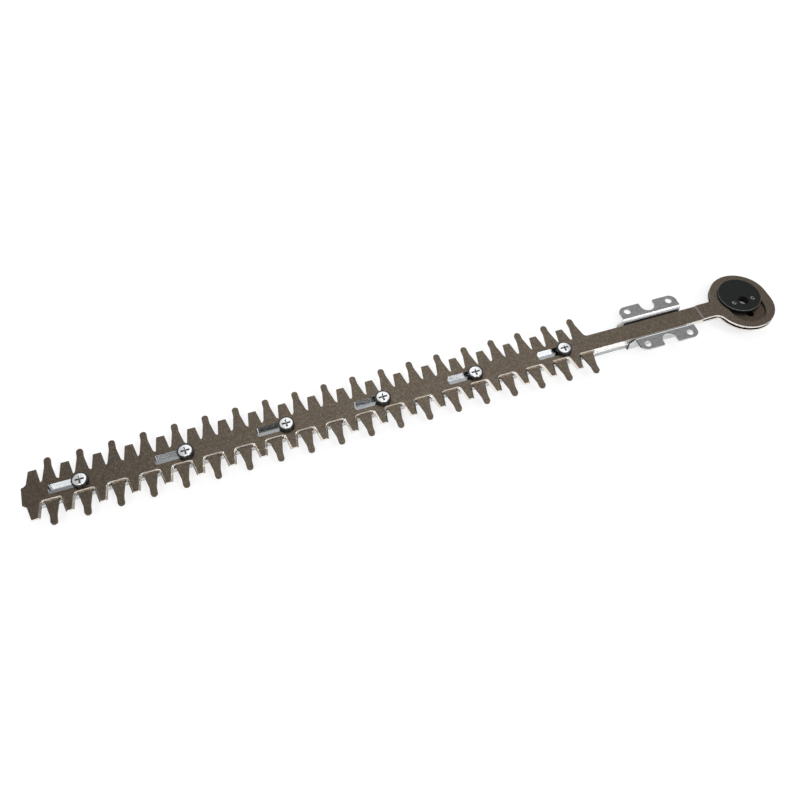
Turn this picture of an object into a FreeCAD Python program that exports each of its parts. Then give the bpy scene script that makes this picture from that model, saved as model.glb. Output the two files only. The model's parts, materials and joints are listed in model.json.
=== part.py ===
import FreeCAD, Part
import math
import os

Vector = FreeCAD.Vector

# Double-action hedge trimmer blade set, in millimetres.
# Origin: centre of the four bracket holes, on the top face of the ears.
# +X runs along the blades towards the eyes, +Z is up, away from the guide bar.

# Tooth row
tooth_pitch = 27.5
tooth_count = 19
first_tooth_x = -574.5
guard_reach = 33.1
guard_shoulder = 24.4
guard_tip_width = 5.9
guard_root_width = 12.4
guard_shoulder_radius = 12.0
cutter_reach = 25.0
cutter_tip_width = 7.0
cutter_root_width = 12.6
cutter_tip_radius = 0.8
bevel_run = 1.65
gullet_radius = 3.8

# Blade strip
blade_thickness = 2.0
band_width = 17.4
tip_overhang = 23.5
tip_corner_radius = 1.2
end_corner_reach = 9.2
end_shoulder_run = 3.6
end_shoulder_reach = 11.9
end_shoulder_radius = 2.0
sliding_gap = 0.1

# Joggle and eye
joggle_x = 45.2
joggle_length = 1.4
joggle_rise = 1.2
eye_x = 93.2
eye_radius = 29.0
eye_half_straight = 5.1
yoke_radius = 18.2
yoke_half_straight = 9.4
guard_side_fillet = 4.0
cutter_side_fillet = 9.0

# Bushes, screws and nuts
bush_count = 6
bush_spacing = 90.0
first_bush_x = -549.3
bush_diameter = 9.0
collar_diameter = 14.6
collar_height = 3.0
collar_floor = 1.0
collar_edge_radius = 0.4
head_seat_clearance = 0.1
slot_side_clearance = 0.15
slot_tip_reach = 27.0
slot_eye_reach = 5.0
slot_corner_radius = 2.0
screw_diameter = 6.0
screw_hole_clearance = 0.2
head_diameter = 12.0
head_height = 2.2
head_edge_radius = 0.5
recess_span = 8.2
recess_wing = 1.8
recess_depth = 1.7
recess_floor_radius = 1.9
nut_across_flats = 10.0
nut_height = 5.0
nut_flange_diameter = 14.0
nut_flange_thickness = 1.2
nut_thread_clearance = 0.05
screw_end_recess = 0.3

# Guide bar
bar_width = 22.0
bar_thickness = 5.5
bar_tip_x = -588.0
bar_edge_radius = 1.0
bar_end_radius = 4.0

# Mounting bracket
ear_height = 3.6
sheet_thickness = 1.6
bracket_length = 61.3
bracket_width = 54.8
channel_overhang = 5.7
channel_corner_drop = 4.4
channel_clearance = 0.4
ear_bend_radius = 2.4
base_bend_radius = 0.8
ear_corner_radius = 7.0
hole_spacing_x = 45.0
hole_spacing_y = 42.5
hole_diameter = 6.6
notch_width = 14.3
notch_depth = 11.4
notch_mouth_radius = 1.2
rivet_spacing = 30.0
rivet_diameter = 5.0
rivet_head_diameter = 9.0
rivet_head_height = 1.8
rivet_hole_clearance = 0.05

# Eccentric pair
crank_y = -1.5
throw = 7.6
boss_clearance = 0.4
flange_overlap = 2.7
flange_thickness = 2.0
flange_chamfer = 0.5
crank_bore_diameter = 10.0
split_rise = 0.95
pin_spacing = 20.7
pin_diameter = 4.0
pin_hole_clearance = 0.05
pin_wall = 0.8
pin_gap = 1.0
pin_end_recess = 0.3
relief_hole_diameter = 7.1
relief_hole_offset = 14.7
relief_hole_depth = 3.0

# Levels, from the ears downwards
upper_top = -ear_height
upper_bottom = upper_top - blade_thickness
shear_plane = upper_bottom - sliding_gap / 2
lower_bottom = shear_plane - sliding_gap / 2 - blade_thickness
bar_top = lower_bottom - sliding_gap
bar_bottom = bar_top - bar_thickness
base_bottom = bar_bottom - sheet_thickness
collar_bottom = upper_top + sliding_gap
collar_top = collar_bottom + collar_height
head_bottom = collar_bottom + collar_floor
nut_bottom = bar_bottom - nut_height
eye_top = upper_top + joggle_rise
flange_bottom = eye_top + sliding_gap
flange_top = flange_bottom + flange_thickness
split_level = shear_plane + split_rise

# Places along the blades
band_edge = band_width / 2
tip_x = first_tooth_x - tip_overhang
neck_x = joggle_x + joggle_length
bush_xs = [first_bush_x + i * bush_spacing for i in range(bush_count)]
upper_boss_y = crank_y + throw
boss_radius = yoke_radius - boss_clearance
screw_hole_diameter = screw_diameter + 2 * screw_hole_clearance

X_AXIS = Vector(1, 0, 0)
Z_AXIS = Vector(0, 0, 1)
CLEAR = 1.0
TINY = 1e-6


def on_level(z):
    """Maps flat points to a horizontal plane."""
    return lambda u, v: Vector(u, v, z)


def on_section(x):
    """Maps flat points to a plane across the blades."""
    return lambda u, v: Vector(x, u, v)


def on_side(u, v):
    """Maps flat points to the upright plane along the blades."""
    return Vector(u, 0, v)


def rounded_wire(corners, place):
    """A closed outline of straight edges, each corner (u, v, radius) rounded by an arc."""
    starts, middles, ends = [], [], []
    for i, (u, v, radius) in enumerate(corners):
        corner = Vector(u, v, 0)
        back = Vector(*corners[i - 1][:2], 0) - corner
        ahead = Vector(*corners[(i + 1) % len(corners)][:2], 0) - corner
        back.normalize()
        ahead.normalize()
        half = back.getAngle(ahead) / 2
        inwards = back + ahead
        if radius > 0:
            inwards.normalize()
            starts.append(corner + back * (radius / math.tan(half)))
            ends.append(corner + ahead * (radius / math.tan(half)))
            middles.append(corner + inwards * (radius / math.sin(half) - radius))
        else:
            starts.append(corner)
            ends.append(corner)
            middles.append(None)
    edges = []
    for i, start in enumerate(starts):
        if ends[i - 1].distanceToPoint(start) > TINY:
            edges.append(Part.LineSegment(place(*ends[i - 1][:2]), place(*start[:2])).toShape())
        if middles[i]:
            through = [place(*point[:2]) for point in (start, middles[i], ends[i])]
            edges.append(Part.Arc(*through).toShape())
    return Part.Wire(edges)


def plate(corners, bottom, top):
    """A flat plate with a rounded outline, between two levels."""
    outline = Part.Face(rounded_wire(corners, on_level(bottom)))
    return outline.extrude(Vector(0, 0, top - bottom))


def rectangle(x_low, x_high, y_low, y_high, radius=0.0):
    ends = [(x_low, y_low), (x_high, y_low), (x_high, y_high), (x_low, y_high)]
    return [(x, y, radius) for x, y in ends]


def rod(diameter, x, y, bottom, top):
    return Part.makeCylinder(diameter / 2, top - bottom, Vector(x, y, bottom), Z_AXIS)


def turned(profile, x):
    """A turned piece on an upright axis at x, from its half section."""
    section = Part.Face(rounded_wire(profile, on_side))
    solid = section.revolve(Vector(0, 0, 0), Z_AXIS, 360)
    solid.translate(Vector(x, 0, 0))
    return solid


def guard_tooth(x):
    """Outline of a blunt, round-tipped guard tooth, on the +Y edge of the strip."""
    root, tip = guard_root_width / 2, guard_tip_width / 2
    return [
        (x - root, band_edge, gullet_radius),
        (x - tip, guard_shoulder, guard_shoulder_radius),
        (x - tip, guard_reach, tip),
        (x + tip, guard_reach, tip),
        (x + tip, guard_shoulder, guard_shoulder_radius),
        (x + root, band_edge, gullet_radius),
    ]


def cutter_tooth(x, inset):
    """Outline of a short cutting tooth, on the -Y edge of the strip, its flanks moved in by inset."""
    root, tip = cutter_root_width / 2 - inset, cutter_tip_width / 2 - inset
    return [
        (x + root, -band_edge, gullet_radius),
        (x + tip, -cutter_reach, cutter_tip_radius),
        (x - tip, -cutter_reach, cutter_tip_radius),
        (x - root, -band_edge, gullet_radius),
    ]


def end_flank():
    """The unground outer flank of the end tooth, which slopes into the end of the strip."""
    tip_corner_x = first_tooth_x - tooth_pitch / 2 - cutter_tip_width / 2
    return [
        (tip_corner_x, -cutter_reach, cutter_tip_radius),
        (tip_x + end_shoulder_run, -end_shoulder_reach, end_shoulder_radius),
        (tip_x, -end_corner_reach, tip_corner_radius),
    ]


def strip_outline(inset):
    """Outline of the toothed strip up to the joggle; guard and cutting teeth alternate."""
    corners = [(tip_x, band_edge, tip_corner_radius)]
    for i in range(tooth_count):
        corners += guard_tooth(first_tooth_x + i * tooth_pitch)
    corners += [(joggle_x, band_edge, 0), (joggle_x, -band_edge, 0)]
    for i in reversed(range(tooth_count)):
        corners += cutter_tooth(first_tooth_x + (i - 0.5) * tooth_pitch, inset)
    ground_flank = 2
    return corners[:-ground_flank] + end_flank()


def upright_edge_at(solid, x, y):
    """The upright edge of a plate that stands nearest to a point."""
    uprights = [edge for edge in solid.Edges if len(edge.Vertexes) == 2
                and edge.Vertexes[0].Point.sub(edge.Vertexes[1].Point).cross(Z_AXIS).Length < TINY]
    return min(uprights, key=lambda edge: math.hypot(edge.CenterOfMass.x - x, edge.CenterOfMass.y - y))


def stadium(radius, half_straight):
    reach = half_straight + radius
    return rectangle(eye_x - radius, eye_x + radius, -reach, reach, radius)


def blade_eye(bottom, top):
    """The raised eye: an oval ring on a neck, with a yoke slot for the eccentric."""
    eye = plate(stadium(eye_radius, eye_half_straight), bottom, top)
    eye = eye.fuse(plate(rectangle(neck_x, eye_x, -band_edge, band_edge), bottom, top)).removeSplitter()
    past_straight = max(band_edge - eye_half_straight, 0)
    junction_x = eye_x - math.sqrt(eye_radius ** 2 - past_straight ** 2)
    for y, radius in ((band_edge, guard_side_fillet), (-band_edge, cutter_side_fillet)):
        eye = eye.makeFillet(radius, [upright_edge_at(eye, junction_x, y)])
    yoke = plate(stadium(yoke_radius, yoke_half_straight), bottom - CLEAR, top + CLEAR)
    return eye.cut(yoke)


def bush_slot(x):
    """The space that a blade leaves round one bush for its stroke."""
    half = bush_diameter / 2 + slot_side_clearance
    corners = rectangle(x - slot_tip_reach, x + slot_eye_reach, -half, half, slot_corner_radius)
    return plate(corners, upper_bottom - CLEAR, upper_top + CLEAR)


def make_upper_blade():
    """One blade: ground toothed strip, joggle, eye, and a slot round each bush."""
    outlines = [rounded_wire(strip_outline(0.0), on_level(upper_bottom)),
                rounded_wire(strip_outline(bevel_run), on_level(upper_top))]
    strip = Part.makeLoft(outlines, True, True)
    ramp_corners = [
        (joggle_x, upper_bottom, 0),
        (neck_x, upper_bottom + joggle_rise, 0),
        (neck_x, eye_top, 0),
        (joggle_x, upper_top, 0),
    ]
    ramp = Part.Face(rounded_wire(ramp_corners, on_side)).extrude(Vector(0, band_width, 0))
    ramp.translate(Vector(0, -band_edge, 0))
    eye = blade_eye(upper_bottom + joggle_rise, eye_top)
    return strip.cut([bush_slot(x) for x in bush_xs]).fuse([ramp, eye]).removeSplitter()


def turned_over(solid, y):
    """The same piece turned over about the shear plane, about a line along X at y."""
    other = solid.copy()
    other.rotate(Vector(0, y, shear_plane), X_AXIS, 180)
    return other


def make_guide_bar():
    """Flat bar under the blades, drilled for the screws and the bracket's countersunk rivets."""
    half = bar_width / 2
    section = [(-half, bar_bottom, bar_edge_radius), (half, bar_bottom, bar_edge_radius),
               (half, bar_top, 0), (-half, bar_top, 0)]
    length = bracket_length / 2 - bar_tip_x
    bar = Part.Face(rounded_wire(section, on_section(bar_tip_x))).extrude(X_AXIS * length)
    plan = [(bar_tip_x, -half, bar_end_radius), (bar_tip_x + length, -half, 0),
            (bar_tip_x + length, half, 0), (bar_tip_x, half, bar_end_radius)]
    bar = bar.common(plate(plan, bar_bottom, bar_top))
    holes = [rod(screw_hole_diameter, x, 0, bar_bottom - CLEAR, bar_top + CLEAR) for x in bush_xs]
    holes += [rivet_shape(x, rivet_hole_clearance) for x in rivet_xs()]
    return bar.cut(holes)


def rivet_xs():
    return [-rivet_spacing / 2, rivet_spacing / 2]


def rivet_shape(x, oversize):
    """Countersunk rivet, flush with the bar's top, with a formed head under the bracket."""
    shank = rivet_diameter / 2 + oversize
    head = rivet_head_diameter / 2 + oversize
    profile = [
        (0, base_bottom - rivet_head_height, 0),
        (head, base_bottom - rivet_head_height, rivet_head_height / 2),
        (head, base_bottom, 0),
        (shank, base_bottom, 0),
        (shank, bar_top - (head - shank), 0),
        (head, bar_top, 0),
        (0, bar_top, 0),
    ]
    return turned(profile, x)


def make_bracket():
    """Folded sheet channel round the guide bar, with two notched bolt ears, longer at its tip end."""
    inner = bar_width / 2 + channel_clearance
    outer = inner + sheet_thickness
    edge = bracket_width / 2
    underside = -sheet_thickness
    half_section = [
        (inner, bar_bottom, base_bend_radius),
        (inner, 0, ear_bend_radius),
        (edge, 0, 0),
        (edge, underside, 0),
        (outer, underside, ear_bend_radius - sheet_thickness),
        (outer, base_bottom, base_bend_radius + sheet_thickness),
    ]
    mirrored = [(-u, v, radius) for u, v, radius in reversed(half_section)]
    start = -bracket_length / 2
    channel_start = start - channel_overhang
    folded = Part.Face(rounded_wire(half_section + mirrored, on_section(channel_start)))
    folded = folded.extrude(X_AXIS * (bracket_length + channel_overhang))
    half_notch, floor = notch_width / 2, edge - notch_depth
    side = [
        (channel_start, outer, 0),
        (start, outer, 0),
        (start, edge, ear_corner_radius),
        (-half_notch, edge, notch_mouth_radius),
        (-half_notch, floor, half_notch),
        (half_notch, floor, half_notch),
        (half_notch, edge, notch_mouth_radius),
        (-start, edge, ear_corner_radius),
    ]
    plan = side + [(u, -v, radius) for u, v, radius in reversed(side)]
    slope = [(channel_start, -channel_corner_drop, 0), (start, 0, 0), (channel_start, 0, 0)]
    corner_cut = Part.Face(rounded_wire(slope, on_side)).extrude(Vector(0, bracket_width, 0))
    corner_cut.translate(Vector(0, -edge, 0))
    bracket = folded.common(plate(plan, base_bottom, 0)).cut(corner_cut)
    bolt_xs, bolt_ys = hole_spacing_x / 2, hole_spacing_y / 2
    holes = [rod(hole_diameter, x, y, underside - CLEAR, CLEAR)
             for x in (-bolt_xs, bolt_xs) for y in (-bolt_ys, bolt_ys)]
    rivet_hole_diameter = rivet_diameter + 2 * rivet_hole_clearance
    holes += [rod(rivet_hole_diameter, x, 0, base_bottom - CLEAR, bar_bottom + CLEAR) for x in rivet_xs()]
    return bracket.cut(holes)


def make_bush(x):
    """Collared bush: its sleeve stands on the bar, its collar keeps the blades down and seats a screw."""
    bore, sleeve, collar = screw_hole_diameter / 2, bush_diameter / 2, collar_diameter / 2
    seat = head_diameter / 2 + head_seat_clearance
    profile = [
        (bore, bar_top, 0),
        (sleeve, bar_top, 0),
        (sleeve, collar_bottom, 0),
        (collar, collar_bottom, 0),
        (collar, collar_top, collar_edge_radius),
        (seat, collar_top, 0),
        (seat, head_bottom, 0),
        (bore, head_bottom, 0),
    ]
    return turned(profile, x)


def make_screw(x):
    """Pan head screw with a tapered cross recess."""
    head_top = head_bottom + head_height
    shank_end = nut_bottom + screw_end_recess
    profile = [
        (0, shank_end, 0),
        (screw_diameter / 2, shank_end, 0),
        (screw_diameter / 2, head_bottom, 0),
        (head_diameter / 2, head_bottom, 0),
        (head_diameter / 2, head_top, head_edge_radius),
        (0, head_top, 0),
    ]
    floor = head_top - recess_depth
    half_span, half_wing = recess_span / 2, recess_wing / 2
    along = rectangle(x - half_span, x + half_span, -half_wing, half_wing)
    across = rectangle(x - half_wing, x + half_wing, -half_span, half_span)
    wings = plate(along, floor, head_top).fuse(plate(across, floor, head_top))
    taper = Part.makeCone(recess_floor_radius, half_span, recess_depth, Vector(x, 0, floor), Z_AXIS)
    return turned(profile, x).cut(wings.common(taper))


def make_nut(x):
    """Flanged hexagon lock nut under the guide bar."""
    half_turn_of_side = math.radians(30)
    corner = nut_across_flats / 2 / math.cos(half_turn_of_side)
    turns = [2 * k * half_turn_of_side for k in range(6)]
    hexagon = [(x + corner * math.cos(turn), corner * math.sin(turn), 0) for turn in turns]
    flange = rod(nut_flange_diameter, x, 0, bar_bottom - nut_flange_thickness, bar_bottom)
    body = plate(hexagon, nut_bottom, bar_bottom).fuse(flange)
    thread = rod(screw_diameter + 2 * nut_thread_clearance, x, 0, nut_bottom - CLEAR, bar_bottom + CLEAR)
    return body.cut(thread).removeSplitter()


def make_eccentric(boss_end):
    """Eccentric for the upper eye: a boss in the yoke slot under a wider chamfered flange."""
    flange_radius = yoke_radius + flange_overlap
    profile = [
        (0, boss_end, 0),
        (boss_radius, boss_end, 0),
        (boss_radius, flange_bottom, 0),
        (flange_radius, flange_bottom, 0),
        (flange_radius, flange_top - flange_chamfer, 0),
        (flange_radius - flange_chamfer, flange_top, 0),
        (0, flange_top, 0),
    ]
    body = turned(profile, eye_x)
    body.translate(Vector(0, upper_boss_y, 0))
    low, high = boss_end - CLEAR, flange_top + CLEAR
    holes = [rod(crank_bore_diameter, eye_x, crank_y, low, high)]
    holes += [rod(pin_diameter + 2 * pin_hole_clearance, x, crank_y, low, high) for x in pin_xs()]
    relief_y, relief_top = crank_y + relief_hole_offset, boss_end + relief_hole_depth
    holes.append(rod(relief_hole_diameter, eye_x, relief_y, low, relief_top))
    return body.cut(holes)


def pin_xs():
    return [eye_x - pin_spacing / 2, eye_x + pin_spacing / 2]


def make_roll_pin(x):
    """Slit spring pin through both eccentrics."""
    top = flange_top - pin_end_recess
    bottom = 2 * shear_plane - top
    tube = rod(pin_diameter, x, crank_y, bottom, top)
    tube = tube.cut(rod(pin_diameter - 2 * pin_wall, x, crank_y, bottom - CLEAR, top + CLEAR))
    slit = rectangle(x, x + pin_diameter, crank_y - pin_gap / 2, crank_y + pin_gap / 2)
    return tube.cut(plate(slit, bottom - CLEAR, top + CLEAR))


def main():
    os.makedirs("parts", exist_ok=True)
    upper_blade = make_upper_blade()
    lower_boss_end = 2 * shear_plane - split_level
    parts = {
        "upper_blade": upper_blade,
        "lower_blade": turned_over(upper_blade, 0),
        "guide_bar": make_guide_bar(),
        "mounting_bracket": make_bracket(),
        "bracket_rivets": Part.makeCompound([rivet_shape(x, 0) for x in rivet_xs()]),
        "guide_screws": Part.makeCompound([make_screw(x) for x in bush_xs]),
        "lock_nuts": Part.makeCompound([make_nut(x) for x in bush_xs]),
        "upper_eccentric": make_eccentric(split_level),
        "lower_eccentric": turned_over(make_eccentric(lower_boss_end), crank_y),
        "roll_pins": Part.makeCompound([make_roll_pin(x) for x in pin_xs()]),
    }
    for number, x in enumerate(bush_xs, 1):
        parts[f"guide_bush_{number}"] = make_bush(x)
    for name, shape in parts.items():
        shape.exportStep(f"parts/{name}.step")
        print(name, shape.isValid(), len(shape.Solids), round(shape.Volume, 1))


main()
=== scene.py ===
import json
import math

import bpy
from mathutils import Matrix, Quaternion, Vector


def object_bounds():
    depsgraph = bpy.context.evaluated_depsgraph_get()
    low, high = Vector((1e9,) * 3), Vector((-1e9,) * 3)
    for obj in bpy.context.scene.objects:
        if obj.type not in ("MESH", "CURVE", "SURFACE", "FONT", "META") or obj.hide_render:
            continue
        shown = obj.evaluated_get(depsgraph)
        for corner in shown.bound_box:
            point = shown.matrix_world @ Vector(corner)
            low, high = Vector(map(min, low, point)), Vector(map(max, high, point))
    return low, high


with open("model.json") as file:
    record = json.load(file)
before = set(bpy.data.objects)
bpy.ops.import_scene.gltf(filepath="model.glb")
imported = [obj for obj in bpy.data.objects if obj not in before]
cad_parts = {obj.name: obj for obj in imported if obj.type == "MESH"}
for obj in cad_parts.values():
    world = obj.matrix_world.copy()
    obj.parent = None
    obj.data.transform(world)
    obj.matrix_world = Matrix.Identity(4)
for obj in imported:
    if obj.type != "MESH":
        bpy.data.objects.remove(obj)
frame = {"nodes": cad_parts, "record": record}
cad_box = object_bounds()

# Camera (metres, degrees, lens in millimetres)
LENS = 37.54
SENSOR = 36.0
NEAR_CLIP = 0.01
AZIMUTH = -18.325
ELEVATION = 54.783
ROLL = -0.129
DISTANCE = 0.7567
TARGET = Vector((-0.26515, -0.0064, -0.0034))

# Floor (metres) and levels of the studio light, where 1 is white
FLOOR_SIZE, FLOOR_GAP = 8.0, 0.0002
FLOOR_GLOW, MIRRORED_GLOW = 0.765, 0.10
FLOOR_PAINT, MIRRORED_PAINT = 0.28, 0.80
WALL, RIGHT_WALL, RIGHT_SHADE = 1.0, 0.5, 0.08
LEFT_CEILING, MIDDLE_CEILING, RIGHT_CEILING = 0.43, 1.27, 0.60
FRONT_LIGHT, FRONT_SHADE = 0.6, 0.03
BACKDROP = 1.0
LEFT_BOX, RIGHT_BOX = 11.0, 11.0

# Soft limits in the studio, as parts of a unit direction: up, to the right and to the back
RIGHT_WALL_TOP = 0.08, 0.22
CEILING_FOOT = 0.2, 0.5
BOX_FOOT, BOX_HEAD = (0.62, 0.70), (0.86, 0.92)
SHADE_FOOT, SHADE_HEAD = (0.44, 0.58), (0.92, 0.97)
RIGHT_WALL_FROM = 0.50, 0.75
MIDDLE_FROM, RIGHT_FROM, SHADE_FROM = (-0.35, 0.12), (0.38, 0.60), (0.66, 0.80)
BACK_FROM = -0.3, 0.2

# Soft limits of the two boxes in front, to the right over the way in depth
LEAST_DEPTH = 0.05
LEFT_BOX_FROM, LEFT_BOX_TO = (-0.9, -0.7), (-0.40, -0.18)
RIGHT_BOX_FROM, RIGHT_BOX_TO = (0.36, 0.50), (1.0, 1.2)

# Surface scale: texture features per metre, and limits of noise for soft, clear and slight change
FINE = 4200.0
GRAIN = 900.0
COARSE = 420.0
LONG = 130.0
LENGTHWISE = LONG, FINE, FINE
DOWNWARD = FINE, FINE, LONG
SOFT, CLEAR, SLIGHT = (0.3, 0.7), (0.35, 0.65), (0.2, 0.8)

# Places on the part (metres)
NECK_X = 0.0466
CRANK_X, CRANK_Y = 0.0932, -0.0015
BORE_RADIUS = 0.0053
HONED_LEVEL = -0.0077
RELIEF_Y, RELIEF_RADIUS = -0.0162, 0.0038
SPLIT_LEVEL = -0.0048
SHEAR_LEVEL, ROOT_Y = -0.00565, 0.0094
CHANNEL_HALF, CHANNEL_LEVEL, BASE_MIDDLE = 0.0118, -0.0040, -0.0141
TOOTHED_END = -0.0900
RIM_Y, SLOT_HALF = 0.0085, 0.0075
EAR_END = -0.0300
RECESS_TOP, RECESS_END, RECESS_RADIUS = -0.0004, -0.0030, 0.0043
SCREW_X, SCREW_SPACING = -0.5493, 0.0900
DOME_RADIUS = 0.030

# Level, bent and upright faces are told apart by the upward part of their normal, ends by its part along X
FLAT = 0.67, 0.82
BEND = 0.970, 0.995
UPRIGHT = 0.03, 0.15
FLANK = 0.4, 0.7
CUT_END = 0.35, 0.55

# How metallic a surface looks
METAL, OXIDE = 1.0, 0.0
FASTENER, EDGE, BAR_RIM, BENT_SHEET = 0.7, 0.40, 0.45, 0.4

# Strength of speckle, grain and relief, and single values of gloss
SPECKLED, GRAINED, EDGE_RELIEF = 0.8, 0.35, 0.35
BENT_ROUGHNESS, HONED_ROUGHNESS, OXIDE_SHEEN = 0.42, 0.12, 0.18


def direction(azimuth, elevation):
    """Unit vector from the part towards a place round it; azimuth 0 looks from -Y."""
    across, up = math.radians(azimuth), math.radians(elevation)
    return Vector((math.sin(across) * math.cos(up), -math.cos(across) * math.cos(up), math.sin(up)))


def link_object(name, data):
    piece = bpy.data.objects.new(name, data)
    bpy.context.scene.collection.objects.link(piece)
    return piece


def colour(red, green, blue):
    return (red, green, blue, 1.0)


def even(scale):
    return (scale, scale, scale)


class Tree:
    """Builds a node tree in short steps."""

    def __init__(self, owner):
        owner.use_nodes = True
        self.tree = owner.node_tree

    def node(self, kind, inputs=None, **settings):
        node = self.tree.nodes.new(kind)
        for name, value in settings.items():
            setattr(node, name, value)
        for name, value in (inputs or {}).items():
            self.feed(node.inputs[name], value)
        return node

    def feed(self, socket, value):
        if isinstance(value, bpy.types.NodeSocket):
            self.tree.links.new(value, socket)
        else:
            socket.default_value = value

    def maths(self, operation, first, second=0.0):
        return self.node("ShaderNodeMath", {0: first, 1: second}, operation=operation).outputs[0]

    def fade(self, value, low, high, start=0.0, end=1.0):
        """Goes smoothly from start to end while value goes from low to high."""
        inputs = {"Value": value, "From Min": low, "From Max": high, "To Min": start, "To Max": end}
        return self.node("ShaderNodeMapRange", inputs, interpolation_type="SMOOTHSTEP").outputs["Result"]

    def both(self, first, second):
        """1 where two masks are 1."""
        return self.maths("MULTIPLY", first, second)

    def either(self, first, second):
        """1 where one of two masks is 1."""
        return self.maths("MAXIMUM", first, second)

    def outside(self, mask):
        return self.maths("SUBTRACT", 1.0, mask)

    def over(self, value, limit):
        return self.maths("GREATER_THAN", value, limit)

    def under(self, value, limit):
        return self.maths("LESS_THAN", value, limit)

    def band(self, value, foot, head, level=1.0):
        """Rises softly from 0 to a level at the foot of a band, and falls to 0 at its head."""
        return self.maths("MULTIPLY", self.fade(value, *foot), self.fade(value, *head, level, 0.0))

    def mix(self, factor, first, second):
        """Mixes two colours."""
        node = self.node("ShaderNodeMix", data_type="RGBA")
        self.feed(node.inputs[0], factor)
        self.feed(node.inputs[6], first)
        self.feed(node.inputs[7], second)
        return node.outputs[2]

    def blend(self, factor, first, second):
        """Mixes two plain numbers."""
        node = self.node("ShaderNodeMix", data_type="FLOAT")
        self.feed(node.inputs[0], factor)
        self.feed(node.inputs[2], first)
        self.feed(node.inputs[3], second)
        return node.outputs[0]


class Finish(Tree):
    """A procedural material on a Principled shader, in the part's own coordinates."""

    def __init__(self, name, metallic):
        self.material = bpy.data.materials.new(name)
        super().__init__(self.material)
        self.shader = self.tree.nodes["Principled BSDF"]
        self.metal(metallic)
        self.place = self.node("ShaderNodeTexCoord").outputs["Object"]

    def metal(self, share):
        self.feed(self.shader.inputs["Metallic"], share)

    def noise(self, stretch, detail=3.0, roughness=0.6):
        """Noise with so many features per metre along each axis."""
        scaled = self.node("ShaderNodeMapping", {"Vector": self.place, "Scale": stretch})
        inputs = {"Vector": scaled.outputs[0], "Scale": 1.0, "Detail": detail, "Roughness": roughness}
        return self.node("ShaderNodeTexNoise", inputs).outputs["Fac"]

    def along(self, axis):
        return self.node("ShaderNodeSeparateXYZ", {0: self.place}).outputs[axis]

    def facing(self, axis):
        """The size of one part of the face normal; for Z, 1 on level faces and 0 on upright ones."""
        normal = self.node("ShaderNodeNewGeometry").outputs["True Normal"]
        part = self.node("ShaderNodeSeparateXYZ", {0: normal}).outputs[axis]
        return self.maths("ABSOLUTE", part)

    def reach(self, x, y):
        """Distance from an upright axis."""
        east = self.maths("SUBTRACT", self.along("X"), x)
        north = self.maths("SUBTRACT", self.along("Y"), y)
        squares = self.maths("ADD", self.maths("MULTIPLY", east, east), self.maths("MULTIPLY", north, north))
        return self.maths("SQRT", squares)

    def inside(self, x, y, radius, below):
        """1 within a radius of an upright axis and below a level, else 0."""
        return self.both(self.under(self.reach(x, y), radius), self.under(self.along("Z"), below))

    def roughness(self, noise, smooth, rough):
        return self.fade(noise, *SLIGHT, smooth, rough)

    def bump(self, height, depth, normal=None, strength=1.0):
        inputs = {"Height": height, "Distance": depth, "Strength": strength}
        if normal:
            inputs["Normal"] = normal
        return self.node("ShaderNodeBump", inputs).outputs[0]

    def finish(self, shade, roughness, normal):
        self.feed(self.shader.inputs["Base Color"], shade)
        self.feed(self.shader.inputs["Roughness"], roughness)
        self.feed(self.shader.inputs["Normal"], normal)
        return self.material


def blade_steel():
    """Satin brown-grey plate, with bare ground steel on the cutting side's bevels and edges, and painted
    shade on the slot walls along the teeth.
    """
    steel = Finish("blade_steel", METAL)
    mottle = steel.noise(even(COARSE), detail=5.0)
    speck = steel.noise(even(GRAIN), detail=2.0)
    lines = steel.noise(LENGTHWISE)
    shear = steel.noise(DOWNWARD)
    plate = steel.mix(steel.fade(mottle, *SOFT), colour(0.120, 0.097, 0.074), colour(0.190, 0.159, 0.124))
    plate = steel.mix(steel.fade(speck, *CLEAR, 0.0, SPECKLED), plate, colour(0.080, 0.062, 0.047))
    bare = steel.mix(steel.fade(shear, *SOFT), colour(0.86, 0.80, 0.73), colour(0.96, 0.93, 0.88))
    across, level = steel.along("Y"), steel.along("Z")
    # Painted shade: bare faces in the slots along the teeth are painted mid grey instead of bright steel.
    slot = steel.both(steel.under(steel.maths("ABSOLUTE", across), SLOT_HALF),
                      steel.under(steel.along("X"), TOOTHED_END))
    bare = steel.mix(slot, bare, colour(0.42, 0.42, 0.42))
    flat = steel.fade(steel.facing("Z"), *FLAT)
    side = steel.maths("SIGN", steel.maths("SUBTRACT", level, SHEAR_LEVEL))
    strip = steel.under(steel.along("X"), NECK_X)
    guard = steel.over(steel.maths("MULTIPLY", across, side), ROOT_Y)
    guard = steel.both(guard, steel.either(side, strip))
    plated = steel.either(flat, guard)
    root = steel.fade(steel.facing("X"), *FLANK, 1.0, 0.0)
    matt = steel.both(steel.outside(steel.either(plated, slot)), root)
    steel.metal(steel.blend(matt, METAL, EDGE))
    grain = steel.blend(flat, shear, lines)
    bright = steel.roughness(grain, smooth=0.15, rough=0.26)
    satin = steel.roughness(grain, smooth=0.26, rough=0.38)
    relief = steel.bump(grain, depth=0.00002, strength=steel.blend(flat, EDGE_RELIEF, 1.0))
    return steel.finish(steel.mix(plated, bare, plate), steel.blend(flat, bright, satin), relief)


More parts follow.
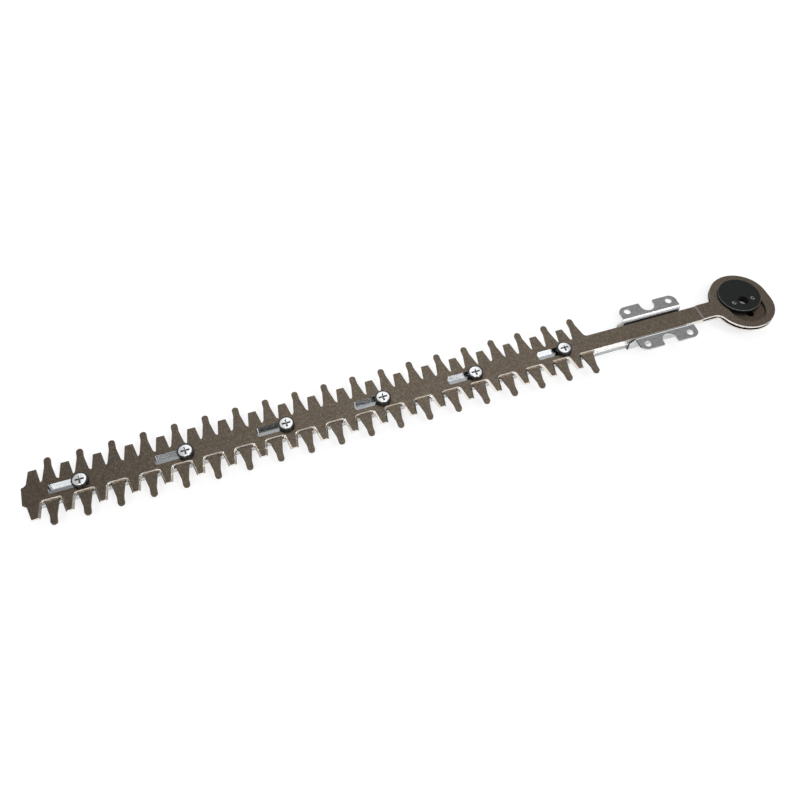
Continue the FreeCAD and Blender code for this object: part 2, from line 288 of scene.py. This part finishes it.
def bar_aluminium():
    """Bright drawn bar with fine lines along its length, darker on its level top under the blades, and with
    painted light on its rims along the teeth.
    """
    bar = Finish("bar_aluminium", METAL)
    lines = bar.noise(LENGTHWISE, detail=4.0)
    cloud = bar.noise(even(COARSE))
    drawn = bar.mix(bar.fade(cloud, *SOFT), colour(0.40, 0.41, 0.42), colour(0.54, 0.55, 0.56))
    # The level top between the rims, under the blades, is given a darker grey.
    changed_tone = bar.mix(bar.fade(lines, *SOFT), colour(0.24, 0.25, 0.26), colour(0.38, 0.39, 0.40))
    rim = bar.over(bar.maths("ABSOLUTE", bar.along("Y")), RIM_Y)
    flat = bar.fade(bar.facing("Z"), *FLAT)
    shade = bar.mix(bar.both(flat, bar.outside(rim)), drawn, changed_tone)
    # Painted light: the rims along the toothed part, which the teeth shade, are painted near white.
    painted_light_rim = bar.both(rim, bar.under(bar.along("X"), TOOTHED_END))
    shade = bar.mix(painted_light_rim, shade, colour(0.84, 0.85, 0.86))
    bar.metal(bar.blend(rim, METAL, BAR_RIM))
    rough = bar.roughness(lines, smooth=0.15, rough=0.26)
    return bar.finish(shade, rough, bar.bump(lines, depth=0.00001))


def zinc_sheet():
    """Zinc plated sheet with a fine grain, a painted highlight on its bends, painted light on its upright
    walls, painted shade in the channel, and nearly black near-side cut ends.
    """
    sheet = Finish("zinc_sheet", METAL)
    grain = sheet.noise(even(GRAIN), detail=2.0)
    cloud = sheet.noise(even(COARSE), detail=4.0)
    upward, level = sheet.facing("Z"), sheet.along("Z")
    flat = sheet.fade(upward, *BEND)
    dull = sheet.mix(sheet.fade(cloud, *SOFT), colour(0.22, 0.22, 0.225), colour(0.33, 0.33, 0.335))
    dull = sheet.mix(sheet.fade(grain, *CLEAR, 0.0, GRAINED), dull, colour(0.14, 0.14, 0.145))
    # Painted highlight: faces that are not level, the bends above all, are painted near white.
    shade = sheet.mix(flat, colour(0.90, 0.90, 0.90), dull)
    # Painted light: upright walls are painted light grey.
    shade = sheet.mix(sheet.fade(upward, *UPRIGHT, 1.0, 0.0), shade, colour(0.72, 0.72, 0.72))
    # Painted shade: the inner faces of the channel under the ears, above the base's middle, are painted
    # nearly black.
    within = sheet.under(sheet.maths("ABSOLUTE", sheet.along("Y")), CHANNEL_HALF)
    under_ears = sheet.over(sheet.along("X"), EAR_END)
    deep = sheet.both(sheet.under(level, CHANNEL_LEVEL), sheet.over(level, BASE_MIDDLE))
    channel_shade = sheet.both(sheet.both(within, under_ears), deep)
    # The end faces along X left of the ears, on the near side only, are painted nearly black as well.
    cut = sheet.both(sheet.fade(sheet.facing("X"), *CUT_END), sheet.outside(under_ears))
    cut = sheet.both(cut, sheet.under(sheet.along("Y"), 0.0))
    shade = sheet.mix(sheet.either(channel_shade, cut), shade, colour(0.022, 0.022, 0.022))
    sheet.metal(sheet.blend(flat, BENT_SHEET, METAL))
    rough = sheet.blend(flat, BENT_ROUGHNESS, sheet.roughness(grain, smooth=0.34, rough=0.50))
    return sheet.finish(shade, rough, sheet.bump(grain, depth=0.00001, strength=flat))


def zinc_steel():
    """Bright zinc plated fasteners, with slightly domed heads and painted shade in the cross recess."""
    zinc = Finish("zinc_steel", FASTENER)
    grain = zinc.noise(even(FINE))
    cloud = zinc.noise(even(3 * COARSE))
    shade = zinc.mix(zinc.fade(cloud, *SOFT), colour(0.74, 0.76, 0.78), colour(0.86, 0.87, 0.88))
    step = zinc.maths("DIVIDE", zinc.maths("SUBTRACT", zinc.along("X"), SCREW_X), SCREW_SPACING)
    off = zinc.maths("MULTIPLY", zinc.maths("SUBTRACT", step, zinc.maths("ROUND", step)), SCREW_SPACING)
    across, level = zinc.along("Y"), zinc.along("Z")
    aside = zinc.maths("ADD", zinc.maths("MULTIPLY", off, off), zinc.maths("MULTIPLY", across, across))
    dome = zinc.bump(zinc.maths("MULTIPLY", aside, -0.5 / DOME_RADIUS), depth=1.0)
    # Painted shade: the cross recess inside each head is painted dark grey.
    painted_recess_shade = zinc.both(zinc.under(level, RECESS_TOP), zinc.over(level, RECESS_END))
    painted_recess_shade = zinc.both(painted_recess_shade, zinc.under(aside, RECESS_RADIUS ** 2))
    shade = zinc.mix(painted_recess_shade, shade, colour(0.13, 0.13, 0.135))
    rough = zinc.roughness(grain, smooth=0.12, rough=0.24)
    return zinc.finish(shade, rough, zinc.bump(grain, depth=0.000008, normal=dome))


def black_steel():
    """Matt black oxide with a fine blasted grain and a painted highlight on its chamfer."""
    black = Finish("black_steel", OXIDE)
    grain = black.noise(even(FINE), detail=2.0)
    cloud = black.noise(even(COARSE))
    dark = black.mix(black.fade(cloud, *SOFT), colour(0.004, 0.005, 0.005), colour(0.009, 0.010, 0.010))
    # Painted highlight: faces between upright and level, the chamfers, are painted grey.
    changed_tone = black.band(black.facing("Z"), UPRIGHT, FLAT)
    shade = black.mix(changed_tone, dark, colour(0.110, 0.112, 0.110))
    black.feed(black.shader.inputs["Specular IOR Level"], OXIDE_SHEEN)
    rough = black.roughness(grain, smooth=0.42, rough=0.60)
    return black.finish(shade, rough, black.bump(grain, depth=0.00003))


def brown_steel():
    """Oiled brown steel, turned, with a honed bore, and painted shade in the relief hole and in the bore
    above its honed part.
    """
    brown = Finish("brown_steel", METAL)
    grain = brown.noise(even(FINE), detail=2.0)
    cloud = brown.noise(even(COARSE), detail=4.0)
    shade = brown.mix(brown.fade(cloud, *SOFT), colour(0.072, 0.055, 0.042), colour(0.106, 0.082, 0.064))
    # Painted shade: the relief hole and the bore below the split level are painted nearly black.
    painted_hole_shade = brown.either(brown.inside(CRANK_X, RELIEF_Y, RELIEF_RADIUS, SPLIT_LEVEL),
                         brown.inside(CRANK_X, CRANK_Y, BORE_RADIUS, SPLIT_LEVEL))
    shade = brown.mix(painted_hole_shade, shade, colour(0.02, 0.018, 0.016))
    honed = brown.inside(CRANK_X, CRANK_Y, BORE_RADIUS, HONED_LEVEL)
    shade = brown.mix(honed, shade, colour(0.93, 0.93, 0.92))
    rough = brown.blend(honed, brown.roughness(grain, smooth=0.36, rough=0.50), HONED_ROUGHNESS)
    return brown.finish(shade, rough, brown.bump(grain, depth=0.00001))


def spring_steel():
    """Spring steel of the slit pins, bright on the rolled skin and dull on the ends."""
    spring = Finish("spring_steel", METAL)
    lines = spring.noise(DOWNWARD)
    flat = spring.fade(spring.facing("Z"), *FLAT)
    shade = spring.mix(spring.fade(lines, *SOFT), colour(0.50, 0.50, 0.50), colour(0.68, 0.68, 0.67))
    shade = spring.mix(flat, shade, colour(0.45, 0.45, 0.45))
    rough = spring.roughness(lines, smooth=0.22, rough=0.36)
    return spring.finish(shade, rough, spring.bump(lines, depth=0.00001))


def black_bush():
    """Semi-gloss black oxide of the flanged bushes."""
    black = Finish("black_bush", OXIDE)
    grain = black.noise(even(FINE), detail=2.0)
    cloud = black.noise(even(2 * COARSE))
    shade = black.mix(black.fade(cloud, *SOFT), colour(0.007, 0.007, 0.008), colour(0.013, 0.013, 0.014))
    rough = black.roughness(grain, smooth=0.24, rough=0.38)
    return black.finish(shade, rough, black.bump(grain, depth=0.00001))


def dress_nodes():
    """Gives each CAD node the finish that its material slot names."""
    makers = [blade_steel, bar_aluminium, zinc_sheet, zinc_steel,
              black_steel, brown_steel, spring_steel, black_bush]
    finishes = {maker.__name__: maker() for maker in makers}
    for subpart in frame["record"]["subparts"]:
        piece = frame["nodes"][subpart["node"]]
        for slot in piece.material_slots:
            slot.material = finishes[subpart["material_slot"]]


def add_floor():
    """A plain white floor under the part, which keeps the part's shadow."""
    half, level = FLOOR_SIZE / 2, float(cad_box[0][2]) - FLOOR_GAP
    mesh = bpy.data.meshes.new("floor")
    corners = [(-half, -half, level), (half, -half, level), (half, half, level), (-half, half, level)]
    mesh.from_pydata(corners, [], [(0, 1, 2, 3)])
    floor = link_object("floor", mesh)
    material = bpy.data.materials.new("floor_white")
    tree = Tree(material)
    rays = tree.node("ShaderNodeLightPath").outputs
    mirrored = tree.maths("MAXIMUM", rays["Is Glossy Ray"], rays["Is Transmission Ray"])
    strength = tree.blend(rays["Is Camera Ray"], tree.maths("MULTIPLY", mirrored, MIRRORED_GLOW), FLOOR_GLOW)
    glow = tree.node("ShaderNodeEmission", {"Strength": strength})
    white = tree.blend(rays["Is Camera Ray"], MIRRORED_PAINT, FLOOR_PAINT)
    paint = tree.node("ShaderNodeBsdfDiffuse", {"Color": white})
    both = tree.node("ShaderNodeAddShader", {0: glow.outputs[0], 1: paint.outputs[0]})
    output = tree.tree.nodes["Material Output"]
    tree.feed(output.inputs["Surface"], both.outputs[0])
    mesh.materials.append(material)


def add_world():
    """White walls, a ceiling brightest in the middle of the back, and two soft boxes high in front."""
    world = bpy.data.worlds.new("studio")
    bpy.context.scene.world = world
    tree = Tree(world)
    sky = tree.node("ShaderNodeTexCoord").outputs["Generated"]
    towards = tree.node("ShaderNodeSeparateXYZ", {0: sky}).outputs
    right, back, up = towards["X"], towards["Y"], towards["Z"]
    right_wall = tree.fade(up, *RIGHT_WALL_TOP, RIGHT_WALL, RIGHT_SHADE)
    walls = tree.blend(tree.fade(right, *RIGHT_WALL_FROM), WALL, right_wall)
    ceiling = tree.fade(right, *MIDDLE_FROM, LEFT_CEILING, MIDDLE_CEILING)
    ceiling = tree.blend(tree.fade(right, *RIGHT_FROM), ceiling, RIGHT_CEILING)
    ceiling = tree.blend(tree.fade(right, *SHADE_FROM), ceiling, RIGHT_SHADE)
    depth = tree.maths("MAXIMUM", tree.maths("ABSOLUTE", back), LEAST_DEPTH)
    aside = tree.maths("DIVIDE", right, depth)
    boxes = tree.maths("ADD", tree.band(aside, LEFT_BOX_FROM, LEFT_BOX_TO, LEFT_BOX),
                       tree.band(aside, RIGHT_BOX_FROM, RIGHT_BOX_TO, RIGHT_BOX))
    boxes = tree.maths("MULTIPLY", boxes, tree.band(up, BOX_FOOT, BOX_HEAD))
    shaded = tree.blend(tree.band(up, SHADE_FOOT, SHADE_HEAD), FRONT_LIGHT, FRONT_SHADE)
    front = tree.maths("ADD", boxes, shaded)
    ceiling = tree.blend(tree.fade(back, *BACK_FROM), front, ceiling)
    level = tree.blend(tree.fade(up, *CEILING_FOOT), walls, ceiling)
    rays = tree.node("ShaderNodeLightPath").outputs
    level = tree.blend(rays["Is Camera Ray"], level, BACKDROP)
    background = tree.tree.nodes["Background"].inputs
    tree.feed(background["Strength"], level)
    tree.feed(background["Color"], colour(1.0, 1.0, 1.0))


def add_camera():
    data = bpy.data.cameras.new("camera")
    data.lens = LENS
    data.sensor_width = SENSOR
    data.clip_start = NEAR_CLIP
    camera = link_object("camera", data)
    towards = direction(AZIMUTH, ELEVATION)
    camera.location = TARGET + towards * DISTANCE
    turn = towards.to_track_quat("Z", "Y") @ Quaternion((0.0, 0.0, 1.0), math.radians(ROLL))
    camera.rotation_euler = turn.to_euler()
    bpy.context.scene.camera = camera


dress_nodes()
add_floor()
add_world()
add_camera()
bpy.context.scene.view_settings.view_transform = "Standard"
